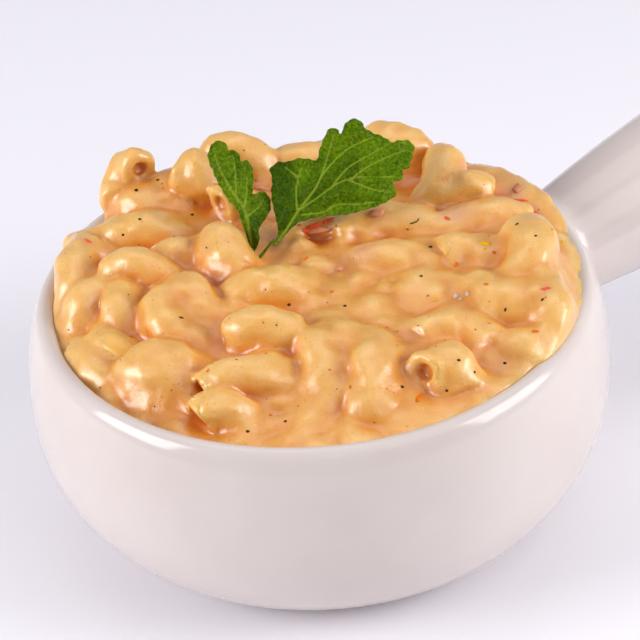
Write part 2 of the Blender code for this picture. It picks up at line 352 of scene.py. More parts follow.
def make_crock(finish):
    points, faces = turned_faces(crock_section(), 256)
    crock = mesh_piece("crock", points, faces, finish, serving=False)

    rise = radians(HANDLE_RISE)
    ahead = Vector((cos(rise), 0.0, sin(rise)))
    upward = Vector((-sin(rise), 0.0, cos(rise)))
    sideways = Vector((0.0, 1.0, 0.0))
    root = Vector((HANDLE_START * cos(rise), 0.0, HANDLE_ROOT_HEIGHT))
    shoulder = HANDLE_LENGTH - HANDLE_CAP
    sides = 96
    rows = [("cap", step / 14) for step in range(14)] + [("stick", step / 44) for step in range(45)]
    points = [tuple(root + ahead * HANDLE_LENGTH)]
    meets = []
    for side in range(sides):
        turn = 2.0 * pi * side / sides
        out = upward * cos(turn) + sideways * sin(turn)
        along = 0.0
        while True:
            spot = root + ahead * along + out * handle_radius(along)
            if hypot(spot.x, spot.y) > outer_radius(min(spot.z, CROCK["rim_height"])):
                break
            along += 0.05
        meets.append(along)
    for kind, share in rows:
        for side in range(sides):
            turn = 2.0 * pi * side / sides
            out = upward * cos(turn) + sideways * sin(turn)
            if kind == "cap":
                curl = pi * 0.5 * (share * 14 + 1) / 15
                along = shoulder + HANDLE_CAP * cos(curl) ** 0.8
                radius = handle_radius(shoulder) * sin(curl) ** 0.8
            else:
                low = meets[side] - 1.2
                along = low + (shoulder - low) * (1.0 - share) ** 1.5
                near = max(0.0, 1.0 - max(0.0, along - meets[side] + 0.4) / HANDLE_FILLET)
                radius = handle_radius(along) + 0.55 * HANDLE_FILLET * near ** 2.6
            points.append(tuple(root + ahead * along + out * radius))
    points.append(tuple(root - ahead * 0.5))
    faces = []
    total = len(rows)
    for side in range(sides):
        after = (side + 1) % sides
        faces.append((0, 1 + side, 1 + after))
        for row in range(total - 1):
            near, far = 1 + row * sides, 1 + (row + 1) * sides
            faces.append((near + side, far + side, far + after, near + after))
        last = 1 + (total - 1) * sides
        faces.append((len(points) - 1, last + after, last + side))
    handle = mesh_piece("handle", points, faces, finish, serving=False)
    for piece in (crock, handle):
        face_out(piece)
    unite(crock, handle)
    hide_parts("bowl")
    return crock


def face_out(piece):
    """Turn a closed mesh's faces outwards."""
    work = bmesh.new()
    work.from_mesh(piece.data)
    bmesh.ops.recalc_face_normals(work, faces=work.faces)
    if work.calc_volume(signed=True) < 0.0:
        bmesh.ops.reverse_faces(work, faces=work.faces)
    work.to_mesh(piece.data)
    work.free()


def unite(first, second):
    """Join the second piece into the first with a Boolean and remove it."""
    join = first.modifiers.new("join", "BOOLEAN")
    join.operation = "UNION"
    join.solver = "EXACT"
    join.object = second
    apply_modifiers(first)
    bpy.data.objects.remove(second, do_unlink=True)


# ---------------------------------------------------------------- food: where every macaroni lies

TUBE = 4.0                     # outside radius of a bare macaroni
BORE = 2.7
UNDER_SAUCE = 0.35             # the pasta itself stays this far inside its share of the sauce
TUBE_SIDES = 20

# Macaroni whose place shows, each bent round a circular arc. The columns are x, y and z of the middle of
# the bend; the bearing and pitch of its run there; the roll of its bulge (90 is straight up); the bend's
# radius and half angle; the bore of the ends behind and ahead (0 is closed with sauce); and the sauce on it.
SHOWN = (
    (-41.5, 39.5, 64.0, -170, -53, 168, 5.0, 74, 1.3, 0.0, 0.8),
    (-30.0, 31.5, 59.5, -55, -20, 135, 16.0, 29, 0.8, 0.0, 0.3),
    (-26.5, 33.5, 66.0, -25, -54, 95, 6.7, 30, 0.0, 0.0, 0.6),
    (-22.5, 32.0, 66.0, -20, -57, 122, 4.5, 73, 0.0, 0.0, 0.5),
    (-15.5, 26.5, 62.5, 40, -39, 90, 7.7, 42, 1.4, 0.0, 0.3),
    (-36.5, 18.5, 62.0, -4, -2, 95, 10.6, 48, 0.0, 0.0, 0.6),
    (-52.5, 7.5, 59.0, -99, -18, 124, 13.0, 40, 0.0, 0.0, 0.5),
    (-37.5, 3.0, 62.0, -20, -11, 75, 6.6, 55, 0.0, 0.0, 0.5),
    (-42.0, -8.5, 58.0, -81, -35, 118, 5.0, 72, 0.0, 0.0, 0.3),
    (-32.0, -15.5, 59.5, -68, -7, 126, 8.5, 66, 0.0, 0.0, 1.2),
    (-25.5, -11.5, 60.0, -66, -15, 87, 7.8, 61, 0.0, 1.6, 1.2),
    (-28.0, 8.5, 60.5, 10, -12, 75, 4.5, 74, 0.0, 0.0, 0.6),
    (-18.5, 4.0, 63.0, -67, -11, 95, 7.0, 67, 0.0, 0.0, 1.4),
    (-9.5, -9.0, 62.5, -6, -2, 73, 9.3, 51, 1.4, 0.0, 0.5),
    (-11.5, -23.5, 61.5, -8, 1, 106, 9.4, 40, 0.0, 0.0, 0.35),
    (-50.5, -4.0, 56.5, -113, -36, 137, 4.6, 67, 1.8, 0.0, 0.3),
    (-33.5, -27.5, 57.0, -13, 0, 84, 6.7, 66, 0.0, 0.0, 1.4),
    (-44.0, -18.5, 55.5, -42, -5, 102, 8.4, 41, 0.0, 0.0, 0.08),
    (-48.0, -22.0, 53.0, -64, -7, 141, 12.7, 39, 0.0, 0.0, 0.08),
    (-15.5, -35.5, 58.0, 9, -3, 80, 14.7, 35, 3.0, 0.0, 0.2),
    (-20.0, -43.5, 55.0, -7, -32, 65, 5.0, 71, 2.7, 0.0, 0.08),
    (-8.0, -41.5, 49.0, -8, 0, 86, 8.0, 41, 0.0, 0.0, 0.3),
    (0.5, -34.5, 58.0, -85, -24, 91, 7.4, 66, 0.0, 0.0, 0.7),
    (11.5, -38.5, 58.0, -92, -18, 66, 12.5, 46, 0.0, 0.0, 0.8),
    (26.5, -39.5, 57.0, -5, -30, 15, 6.5, 50, 1.3, 0, 0.6),
    (30.0, -25.5, 58.0, -7, -6, 36, 8.7, 41, 0.0, 0.0, 0.5),
    (19.5, 0.5, 60.0, -7, -2, 47, 13.1, 29, 0.0, 0.0, 0.8),
    (33.5, 0.5, 60.5, 0, -22, 85, 4.7, 46, 0.0, 0.0, 0.5),
    (48.0, -6.0, 63.0, -107, -18, 41, 8.9, 56, 0.0, 0.0, 1.2),
    (50.0, -21.5, 59.5, -78, -16, 97, 10.1, 38, 0.0, 0.0, 0.6),
    (38.0, -17.0, 60.0, -83, -13, 50, 5.9, 56, 0.0, 0.0, -0.5),
    (22.0, 39.5, 66.5, -21, -10, 112, 6.5, 66, 0.0, 0.0, 0.8),
    (31.5, 26.0, 65.0, -109, -26, 47, 6.4, 63, 0.0, 0.0, 0.8),
    (36.0, 21.5, 64.0, 179, -6, 83, 8.1, 38, 1.8, 0.0, 0.1),
    (-14.5, 43.0, 65.0, -20, -10, 94, 7.1, 53, 0.0, 0.0, 0.6),
    (2.0, 42.0, 62.0, -15, -5, 67, 9.6, 34, 0.0, 0.0, 0.5),
    (15.0, -44.0, 51.5, -3, -16, 95, 4.5, 68, 0.0, 0.0, 0.4),
    (29.0, -41.5, 51.5, 11, 0, 138, 5.4, 54, 0.0, 0.0, 0.4),
    (17.0, 14.5, 61.5, 2, -2, 47, 16.0, 34, 0.0, 0.0, 0.6),
    (5.0, 14.5, 61.5, -9, 0, 21, 4.5, 73, 0.0, 0.0, 0.5),
    (47.0, -30.0, 54.5, 24, 0, 168, 4.9, 60, 0.0, 0.0, 0.4),
    (39.5, 14.5, 60.5, 3, -2, 43, 16.0, 31, 0.0, 0.0, 0.3),
)


# Thick sauce over the fuller lumps: x, y and z of the middle, half length, thickness, bearing and pitch
DOMES = (
    (-41.0, 37.5, 58.5, 9, 5, 80, 60),
    (-36.5, 22.5, 58.5, 9.5, 5.6, -4, 0),
    (-30.0, -11.0, 57.5, 8.4, 7.4, -30, 0),
    (-19.0, 5.5, 61.5, 6.6, 5.9, 80, 30),
    (-33.5, -30.0, 55.0, 8.6, 6.8, -5, 0),
    (48.0, -3.0, 60.0, 8.6, 6.0, 80, 42),
    (50.0, -17.0, 56.0, 9, 6.5, -80, -10),
    (46.5, 28.0, 55.5, 14, 6.5, -48, 0),
    (-8.0, -7.0, 60.0, 8.4, 5, -8, 0),
    (11.0, -37.5, 56.5, 8.5, 5.2, -88, -30),
    (-52.0, 7.0, 56.5, 7.0, 4.6, -85, -30),
    (-49.0, 19.0, 57.0, 7, 4.5, -30, 0),
    (-37.5, 33.5, 59.5, 8, 5.5, -35, -10),
    (44.5, -19.0, 57.0, 9, 6.5, -30, -15),
    (41.5, -1.5, 58.5, 8, 5, -10, 0),
    (5.5, -31.5, 57.0, 9, 5, -88, -20),
    (32.5, -27.5, 54.0, 10, 6, -10, -10),
    (27.5, -37.5, 58.5, 6.0, 4.6, -70, 10),
    (37.5, -12.5, 57.5, 5.5, 4.2, -80, 10),
    (-29.5, 38.0, 60.5, 6.5, 5.0, -35, 0),
)


# Small soft curds on the sauce, in the same columns
CURDS = (
    (-4.0, 11.0, 62.1, 2.4, 1.7, 20, 0),
    (-1.5, 7.5, 61.1, 2.0, 1.5, -10, 0),
    (0.5, 0.0, 61.6, 2.2, 1.6, 30, 0),
    (3.0, -2.0, 61.1, 1.8, 1.4, 0, 0),
    (-6.0, 8.5, 60.1, 1.6, 1.2, 40, 0),
    (10.0, -7.5, 61.1, 2.0, 1.4, -15, 0),
)


def richness(x, y):
    """How full of sauce the heap is: 0 at the left, where gaps stay open, to 1 at the right."""
    return 0.5 + 0.5 * np.tanh((0.9 * x + 0.1 * y + 4.0) / 20.0)


def toward(x, y, bearing):
    """1 on the side of the heap that faces a bearing, down to 0 on the opposite side."""
    return 0.5 + 0.5 * np.cos(np.arctan2(y, x) - radians(bearing))


def edge_level(x, y):
    """Height of the heap at the wall: below the lip at the front, up to it elsewhere."""
    return 56.0 - 5.0 * toward(x, y, 240.0) ** 1.5


def mound(x, y):
    """Smooth height of the heap without its lumps, over grids of x and y."""
    share = np.minimum(1.0, np.hypot(x, y) / 58.6)
    edge = edge_level(x, y)
    fullness = 2.1 + 5.0 * toward(x, y, 120.0) ** 2 + 6.0 * toward(x, y, 35.0) ** 3
    return edge + (62.0 - edge) * (1.0 - share ** fullness)


def sauce_level(x, y):
    """Height of the sauce that fills the gaps between the macaroni."""
    gap = 0.5 + 1.5 * (1.0 - richness(x, y))
    return mound(x, y) - gap * np.minimum(1.0, (59.0 - np.hypot(x, y)) / 8.0)


def buried():
    """Macaroni just under the sauce, strewn with an even random spacing: they only swell its surface."""
    draw = np.random.default_rng(SEED)
    kept = []
    for _ in range(1400):
        reach = 53.0 * sqrt(draw.random())
        turn = draw.random() * 2.0 * pi
        x, y = reach * cos(turn), reach * sin(turn)
        z = float(mound(x, y)) - draw.uniform(4.5, 7.5)
        near = [hypot(x - k[0], y - k[1]) < 8.2 for k in kept]
        near += [hypot(x - k[0], y - k[1]) < 7.5 and z > k[2] - 6.0 for k in SHOWN]
        if not any(near):
            lie = (draw.uniform(0, 360), draw.uniform(-18, 18), draw.uniform(20, 120))
            kept.append((x, y, z, *lie, draw.uniform(7.0, 10.0), draw.uniform(45, 62), 0.0, 0.0, 0.5))
    return kept


def elbow_frame(elbow):
    """Centre of the bend, direction of the bulge, tangent at its middle, and the bend's plane normal."""
    x, y, z, bearing, pitch, roll, bend = elbow[:7]
    h, p, b = radians(bearing), radians(pitch), radians(roll)
    tangent = np.array((cos(h) * cos(p), sin(h) * cos(p), sin(p)))
    level = np.array((-sin(h), cos(h), 0.0))
    above = np.cross(tangent, level)
    bulge = level * cos(b) + above * sin(b)
    return np.array((x, y, z)) - bulge * bend, bulge, tangent, np.cross(bulge, tangent)


# ---------------------------------------------------------------- food: one distance field for the sauce

CELL = 0.55                    # grid step of the field
LOW = 46.0                     # lowest level of the detailed sauce; a plain skirt goes on below it
HIGH = 73.0
POOLING = 4.0                  # how broadly the sauce in the gaps runs up the macaroni
BORE_DEPTH = 1.0               # how far an open end is clear of sauce
SPAN = 62.0


def smooth_min(first, second, blend):
    mix = np.maximum(blend - np.abs(first - second), 0.0) / blend
    return np.minimum(first, second) - mix * mix * blend * 0.25


def window(axes, centre, reach):
    """Index ranges of the grid round a point."""
    ranges = []
    for axis, middle in zip(axes, centre):
        first = max(0, int((middle - reach - axis[0]) / CELL))
        last = min(len(axis), int((middle + reach - axis[0]) / CELL) + 2)
        ranges.append(slice(first, max(first, last)))
    return tuple(ranges)


def elbow_distances(axes, part, elbow):
    """Distance from the bent centreline, how far past its nearer end, and which end that is."""
    centre, bulge, tangent, normal = elbow_frame(elbow)
    bend, half = elbow[6:8]
    x = (axes[0][part[0]] - centre[0])[:, None, None]
    y = (axes[1][part[1]] - centre[1])[None, :, None]
    z = (axes[2][part[2]] - centre[2])[None, None, :]
    u = x * bulge[0] + y * bulge[1] + z * bulge[2]
    v = x * tangent[0] + y * tangent[1] + z * tangent[2]
    w = x * normal[0] + y * normal[1] + z * normal[2]
    angle = np.arctan2(v, u)
    tube = np.hypot(np.hypot(u, v) - bend, w)
    past = (np.abs(angle) - radians(half)) * bend
    return tube, past, angle


def dome_distances(axes, part, dome):
    """Distance from an oblong lump of sauce."""
    x = (axes[0][part[0]] - dome[0])[:, None, None]
    y = (axes[1][part[1]] - dome[1])[None, :, None]
    z = (axes[2][part[2]] - dome[2])[None, None, :]
    length, thickness, bearing, pitch = dome[3], dome[4], radians(dome[5]), radians(dome[6])
    along = (x * cos(bearing) + y * sin(bearing)) * cos(pitch) + z * sin(pitch)
    across = np.sqrt(np.maximum(x * x + y * y + z * z - along * along, 0.0))
    return (np.hypot(along / length, across / thickness) - 1.0) * thickness


def sauce_field(elbows):
    """Signed distances of the sauced heap, and of the bare macaroni in it."""
    axes = [np.arange(-SPAN, SPAN + CELL, CELL), np.arange(-SPAN, SPAN + CELL, CELL), np.arange(LOW, HIGH, CELL)]
    x, y = np.meshgrid(axes[0], axes[1], indexing="ij")
    ripple = 0.5 * np.sin(x * 0.23 + 1.3 * np.sin(y * 0.17)) * np.sin(y * 0.26 + 0.7)
    level = sauce_level(x, y) + ripple
    shape = (*level.shape, len(axes[2]))
    pasta = np.full(shape, 9.0, np.float32)
    lumps = np.full(shape, 9.0, np.float32)
    for elbow in elbows:
        part = window(axes, elbow[:3], 18.0)
        tube, past, _ = elbow_distances(axes, part, elbow)
        bare = smooth_max(tube - TUBE, past, 1.6)
        pasta[part] = np.minimum(pasta[part], bare)
        lumps[part] = smooth_min(lumps[part], bare - elbow[10], 1.3)
    for dome in DOMES:
        part = window(axes, dome[:3], 14.0)
        lumps[part] = smooth_min(lumps[part], dome_distances(axes, part, dome), 2.0)
    pool = (axes[2][None, None, :] - level[:, :, None]).astype(np.float32) * 0.9
    field = smooth_min(pool, lumps, POOLING)
    for curd in CURDS:
        part = window(axes, curd[:3], 6.0)
        field[part] = smooth_min(field[part], dome_distances(axes, part, curd), 2.2)
    bores = np.full(shape, -9.0, np.float32)
    for elbow in elbows:
        for end, bore in ((-1, elbow[8]), (1, elbow[9])):
            if bore:
                part = window(axes, elbow[:3], 18.0)
                tube, past, angle = elbow_distances(axes, part, elbow)
                hole = np.where(angle * end > 0.0, np.maximum(tube - bore, np.abs(past) - BORE_DEPTH), 9.0)
                field[part] = smooth_max(field[part], -hole, 1.2)
                bores[part] = np.maximum(bores[part], -hole)
    return axes, field + unevenness(field.shape), pasta, bores


def unevenness(shape):
    """Slight random swelling of the sauce, coarse and fine, so that no surface is perfectly smooth."""
    draw = np.random.default_rng(SEED + 1)
    total = 0.0
    for half, depth in ((6, 0.34), (2, 0.17)):
        grain = blurred(blurred(draw.standard_normal(shape, np.float32), half), half)
        total = total + grain * (depth / grain.std())
    return total


def smooth_max(first, second, blend):
    return -smooth_min(-first, -second, blend)


def inside_crock(axes, field):
    """Keep the food within the crock's inner wall and over its lip."""
    limit = np.array([food_reach(height) + 0.3 for height in axes[2]])
    reach = np.hypot(axes[0][:, None], axes[1][None, :])
    return smooth_max(field, reach[:, :, None] - limit[None, None, :], 0.8).astype(np.float32)


def food_reach(height):
    """How far out the food may come at a height: to the crock's wall, and above that over its lip."""
    if height <= MOUTH_HEIGHT:
        return inner_radius(height)
    rise = min(1.0, (height - MOUTH_HEIGHT) / LIP)
    return CROCK["rim"] - LIP * sqrt(1.0 - rise * rise)


def surface_nets(axes, field):
    """Polygonise the zero surface of a field: one vertex for each crossed cell, one quad for each crossed edge."""
    shape = np.array(field.shape)
    cells = shape - 1
    inside = field < 0.0
    total = np.zeros(tuple(cells) + (3,), np.float32)
    count = np.zeros(tuple(cells), np.float32)
    crossings = []
    for axis in range(3):
        low = [slice(None)] * 3
        high = [slice(None)] * 3
        low[axis] = slice(0, -1)
        high[axis] = slice(1, None)
        found = np.argwhere(inside[tuple(low)] != inside[tuple(high)])
        first = field[tuple(found.T)]
        ahead = found.copy()
        ahead[:, axis] += 1
        second = field[tuple(ahead.T)]
        place = found.astype(np.float32)
        place[:, axis] += first / (first - second)
        others = [other for other in range(3) if other != axis]
        keep = np.ones(len(found), bool)
        for other in others:
            keep &= (found[:, other] > 0) & (found[:, other] < cells[other])
        corners = []
        for back_a, back_b in ((1, 1), (0, 1), (0, 0), (1, 0)):
            cell = found.copy()
            cell[:, others[0]] -= back_a
            cell[:, others[1]] -= back_b
            real = np.all((cell >= 0) & (cell < cells), axis=1)
            np.add.at(total, tuple(cell[real].T), place[real])
            np.add.at(count, tuple(cell[real].T), 1.0)
            corners.append(cell)
        flip = (first < 0.0) == (axis != 1)
        crossings.append((corners, keep, flip))
    used = count > 0
    ids = np.full(tuple(cells), -1, np.int64)
    ids[used] = np.arange(used.sum())
    grid = total[used] / count[used][:, None]
    quads = []
    for corners, keep, flip in crossings:
        quad = np.stack([ids[tuple(corner[keep].T)] for corner in corners], axis=1)
        turn = flip[keep]
        quad[turn] = quad[turn][:, ::-1]
        quads.append(quad)
    origin = np.array([axis[0] for axis in axes])
    return grid * CELL + origin, grid, np.concatenate(quads)


def sample(field, grid):
    """Trilinear reading of a field at grid coordinates."""
    low = np.floor(grid).astype(int)
    low = np.minimum(np.maximum(low, 0), np.array(field.shape) - 2)
    part = grid - low
    value = 0.0
    for corner in np.ndindex(2, 2, 2):
        weight = np.prod(np.where(np.array(corner) == 1, part, 1.0 - part), axis=1)
        value = value + weight * field[tuple((low + corner).T)]
    return value


def blurred(field, half):
    """Box blur along every axis."""
    width = 2 * half + 1
    for axis in range(3):
        padded = np.concatenate([np.repeat(np.take(field, [0], axis), half + 1, axis), field,
                                 np.repeat(np.take(field, [-1], axis), half, axis)], axis)
        run = np.cumsum(padded, axis=axis, dtype=np.float64)
        size = field.shape[axis]
        field = ((np.take(run, range(width, width + size), axis) - np.take(run, range(0, size), axis)) / width).astype(np.float32)
    return field


def make_sauce(elbows, finish):
    axes, field, pasta, bores = sauce_field(elbows)
    field = inside_crock(axes, field)
    points, grid, quads = surface_nets(axes, field)
    # A convexity measure from the blurred field, high on crests and low in creases, which the sauce's colour uses for
    # painted light and shade.
    wide = np.clip(field, -4.0, 4.0)
    curve = 0.6 * sample(blurred(wide, 3), grid) + 0.4 * sample(blurred(wide, 7), grid)
    crest_and_crease_shade = np.clip(0.5 + curve * 0.6, 0.0, 1.0)
    bare = np.clip(1.0 - sample(pasta, grid) / 0.45, 0.0, 1.0)
    # How far a point lies inside an open end, for the painted shade inside the bore.
    bore = np.clip(0.9 + sample(bores, grid), 0.0, 1.0)
    used = np.unique(quads)
    again = np.full(len(points), -1)
    again[used] = np.arange(len(used))
    sauce = mesh_piece("cheese_sauce", points[used], again[quads], finish)
    point_values(sauce.data, "crest_and_crease_shade", crest_and_crease_shade[used])
    point_values(sauce.data, "bare", bare[used])
    point_values(sauce.data, "bore", bore[used])
    stain = np.zeros(len(used))
    for x, y, z, reach in STAINS:
        away = np.linalg.norm(points[used] - (x, y, z), axis=1)
        stain = np.maximum(stain, np.clip(1.0 - away / reach, 0.0, 1.0))
    point_values(sauce.data, "stain", stain)
    print("sauce faces", len(quads), "crest_and_crease_shade", np.percentile(crest_and_crease_shade[used], (1, 5, 25, 50, 75, 95, 99)).round(3), "bare", np.percentile(bare, (50, 95)))
    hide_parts("mac_and_cheese")
    triangles = np.concatenate([again[quads][:, :3], again[quads][:, (0, 2, 3)]])
    return points[used], BVHTree.FromPolygons(points[used].tolist(), triangles.tolist())


def make_core(finish):
    """The plain mass of the heap under its sauce and macaroni, down to the floor of the crock."""
    section = [(0.0, FLOOR + 0.1)]
    for step in range(19):
        height = FLOOR + 0.1 + (LOW - FLOOR) * (step / 18) ** 1.5
        section.append((inner_radius(height) - 0.1, height))
    section += [(50.0, LOW + 1.5), (38.0, LOW + 5.0), (20.0, LOW + 8.0), (0.0, LOW + 9.0)]
    points, faces = turned_faces(section, 128)
    core = mesh_piece("heap_core", points, faces, finish, serving=False)
    face_out(core)
    return core


def held_in(point):
    """A point of a macaroni, pressed in where it would pass through the crock's wall."""
    share = min(1.0, (food_reach(point[2]) - 0.2) / hypot(point[0], point[1]))
    return (point[0] * share, point[1] * share, point[2])


def make_macaroni(elbows, finish):
    """Every macaroni as a bent hollow tube, just inside its coat of sauce."""
    points, faces = [], []
    outside = TUBE - UNDER_SAUCE
    ends = ((BORE, 0.35), (BORE + 0.3, 0.08), (outside - 0.3, 0.0), (outside, 0.35))
    for elbow in elbows:
        centre, bulge, tangent, normal = elbow_frame(elbow)
        bend, half = elbow[6], radians(elbow[7])
        rings = [(radius, -half + inset / bend) for radius, inset in ends]
        rings += [(outside, -half + 2.0 * half * step / 12) for step in range(1, 12)]
        rings += [(radius, half - inset / bend) for radius, inset in reversed(ends)]
        rings += [(BORE, half - 2.0 * half * step / 12) for step in range(1, 12)]
        first = len(points)
        for radius, angle in rings:
            away = bulge * cos(angle) + tangent * sin(angle)
            for side in range(TUBE_SIDES):
                turn = 2.0 * pi * side / TUBE_SIDES
                point = centre + away * (bend + radius * cos(turn)) + normal * (radius * sin(turn))
                points.append(held_in(point))
        for ring in range(len(rings)):
            near = first + ring * TUBE_SIDES
            far = first + ((ring + 1) % len(rings)) * TUBE_SIDES
            for side in range(TUBE_SIDES):
                after = (side + 1) % TUBE_SIDES
                faces.append((near + side, far + side, far + after, near + after))
    macaroni = mesh_piece("macaroni", points, faces, finish)
    face_out(macaroni)
    return macaroni


# ---------------------------------------------------------------- what is stirred into the sauce

# Bits that show, each row x, y and z of its place, the bearing of its length, and its half sizes
RED_PEPPER = (
    (-0.5, 10.5, 63.5, 25, 2.2, 0.7, 0.5),
    (2.0, 11.0, 64.5, 15, 2.8, 0.8, 0.6),
    (4.5, 11.5, 65.0, 5, 2.0, 0.7, 0.5),
    (48.5, 20.5, 60.5, -8, 1.5, 0.45, 0.35),
    (51.5, 17.0, 59.0, 0, 0.8, 0.5, 0.35),
    (49.5, -21.5, 64.0, -10, 1.1, 0.6, 0.4),
    (-49.5, 13.5, 63.5, -20, 1.0, 0.6, 0.4),
    (31.0, 10.5, 63.5, -40, 0.8, 0.5, 0.35),
    (-2.0, 11.5, 64.0, 30, 0.6, 0.4, 0.3),
    (-8.5, 32.0, 61.5, -20, 1.1, 0.4, 0.3),
    (0.0, 10.5, 62.0, 80, 0.5, 0.4, 0.3),
)
PINK_SHREDS = (
    (15.5, 12.0, 65.5, 10, 1.7, 1.0, 0.5),
    (6.0, -3.5, 61.5, 60, 1.0, 0.9, 0.5),
    (48.0, 24.0, 61.5, 80, 1.5, 1.1, 0.35),
    (-10.0, 32.5, 61.5, -15, 1.8, 0.8, 0.5),
    (2.0, 10.0, 63.5, 20, 2.6, 0.7, 0.5),
    (30.0, 16.5, 62.5, -20, 1.6, 0.8, 0.3),
)
ORANGE_FLECKS = (
    (31.5, -5.5, 61.5, 60, 0.8, 0.45, 0.3),
    (37.0, -17.5, 64.0, -30, 0.7, 0.35, 0.25),
    (40.0, -4.0, 63.0, -20, 0.5, 0.3, 0.25),
    (36.5, -27.5, 60.5, 0, 0.3, 0.25, 0.2),
    (46.0, -30.5, 59.5, -5, 0.9, 0.5, 0.3),
    (15.0, -25.5, 60.5, 0, 0.3, 0.25, 0.2),
    (17.0, -27.0, 60.0, 0, 0.3, 0.25, 0.2),
    (6.0, -43.5, 58.5, 80, 0.6, 0.25, 0.2),
    (20.0, -45.5, 55.5, 70, 1.5, 0.5, 0.4),
    (-11.0, -33.0, 61.5, 0, 0.35, 0.25, 0.2),
    (2.0, -39.0, 60.0, 0, 0.35, 0.25, 0.2),
    (-11.0, -45.0, 54.0, 0, 0.4, 0.3, 0.25),
    (4.0, -12.5, 62.0, 0, 0.5, 0.35, 0.25),
    (-1.0, 0.5, 62.5, 70, 0.8, 0.5, 0.35),
    (-40.0, -17.0, 57.5, 10, 0.6, 0.4, 0.3),
    (-23.5, -37.0, 61.0, 40, 0.6, 0.25, 0.2),
    (24.5, -16.5, 61.5, 0, 0.3, 0.25, 0.2),
    (33.5, -29.5, 60.5, 0, 0.25, 0.2, 0.2),
)
YELLOW_FLECKS = (
    (38.5, -1.5, 64.0, -20, 1.3, 0.9, 0.6),
    (38.0, -3.0, 63.5, 30, 0.5, 0.4, 0.3),
    (56.5, 6.5, 57.5, 70, 1.2, 0.5, 0.3),
    (26.0, -17.5, 61.0, 20, 0.6, 0.4, 0.25),
)
GREY_PEARLS = (
    (30.5, -16.5, 61.0, 0, 0.75, 0.7, 0.6),
    (33.0, -17.0, 61.5, 0, 0.7, 0.7, 0.6),
    (31.5, -17.5, 60.5, 0, 0.45, 0.45, 0.4),
)
BLACK_PEPPER = (
    (26.5, 1.5, 62.5, 20, 0.45, 0.3, 0.25),
    (23.5, -11.0, 63.0, 0, 0.35, 0.3, 0.25),
    (6.5, -18.0, 61.5, 0, 0.4, 0.35, 0.3),
    (-5.5, -15.5, 61.5, 0, 0.4, 0.35, 0.3),
    (40.5, -23.5, 61.0, 60, 0.45, 0.25, 0.25),
    (17.0, -43.5, 57.5, 0, 0.4, 0.35, 0.3),
    (26.0, -45.0, 56.5, 0, 0.35, 0.3, 0.25),
    (39.0, -36.0, 56.0, 0, 0.4, 0.35, 0.3),
    (45.5, -1.0, 68.0, 0, 0.4, 0.35, 0.3),
    (49.0, -7.0, 68.5, 0, 0.35, 0.3, 0.25),
    (48.5, -24.0, 63.0, 0, 0.4, 0.3, 0.3),
    (-38.5, 32.5, 64.0, 0, 0.45, 0.4, 0.3),
    (-26.0, 24.0, 61.5, 0, 0.45, 0.4, 0.3),
    (-37.5, 17.0, 66.0, 0, 0.4, 0.3, 0.25),
    (-16.0, -49.5, 53.5, 0, 0.4, 0.3, 0.25),
    (-8.0, -47.0, 53.5, 0, 0.35, 0.3, 0.25),
    (-28.5, -19.0, 63.0, 0, 0.6, 0.25, 0.2),
    (-33.5, 35.5, 64.5, 0, 0.4, 0.3, 0.25),
    (-41.5, 15.0, 63.5, 0, 0.35, 0.3, 0.25),
    (29.0, -41.5, 61.5, 0, 0.4, 0.3, 0.25),
    (32.0, -42.0, 58.5, 0, 0.3, 0.25, 0.2),
)
HERB = (
    (23.5, 10.0, 63.5, 20, 1.1, 0.22, 0.15),
    (24.5, 10.5, 64.0, 60, 0.5, 0.2, 0.15),
    (22.0, 9.0, 62.5, 0, 0.35, 0.2, 0.15),
)
# Where a bit has coloured the sauce round it: place and reach
STAINS = (
    (48.0, 23.5, 61.5, 3.5),
    (2.0, 10.5, 64.0, 4.5),
    (-10.0, 32.0, 61.5, 4.5),
    (15.5, 12.0, 65.5, 3.5),
    (6.5, -3.0, 61.5, 3.5),
    (-49.5, 13.0, 63.5, 2.5),
    (51.5, 17.0, 59.0, 1.8),
    (49.5, -21.5, 64.0, 2.2),
    (11.0, 0.0, 64.0, 6.0),
    (33.0, 12.5, 64.0, 5.0),
)


def crumb(where, normal, size, turn, draw):
    """A small irregular lump lying on the sauce: points and faces."""
    ball = bmesh.new()
    bmesh.ops.create_icosphere(ball, subdivisions=2, radius=1.0)
    side = np.cross(normal, (cos(turn), sin(turn), 0.0))
    side /= np.linalg.norm(side)
    ahead = np.cross(side, normal)
    points = []
    shift = draw.uniform(-9.0, 9.0, 3)
    for vertex in ball.verts:
        spot = vertex.co * (1.0 + 0.45 * noise.noise(Vector(shift) + vertex.co * 1.3))
        points.append(where + ahead * spot.x * size[0] + side * spot.y * size[1] + normal * spot.z * size[2])
    faces = [[vertex.index for vertex in face.verts] for face in ball.faces]
    ball.free()
    return points, faces


def make_bits(name, rows, finish, surface, draw, lift=0.15):
    """One piece for each kind of bit, every row laid on the nearest sauce and lifted by a share of its height."""
    points, faces = [], []
    for x, y, z, turn, long, wide, tall in rows:
        spot, normal, _, _ = surface.find_nearest(Vector((x, y, z)))
        where = np.array(spot) + np.array(normal) * (tall * lift)
        made, sides = crumb(where, np.array(normal), (long, wide, tall), radians(turn), draw)
        faces += [[index + len(points) for index in side] for side in sides]
        points += made
    return mesh_piece(name, points, faces, finish)


def strewn(sauce_points, count, low, high, draw):
    """Rows for tiny specks strewn at random over the heap."""
    rows = []
    top = sauce_points[np.hypot(sauce_points[:, 0], sauce_points[:, 1]) < 56.0]
    for pick in draw.integers(0, len(top), count):
        size = draw.uniform(low, high)
        rows.append((*top[pick], draw.uniform(0, 360), size, size * draw.uniform(0.5, 1.0), size * 0.6))
    return rows


# ---------------------------------------------------------------- parsley

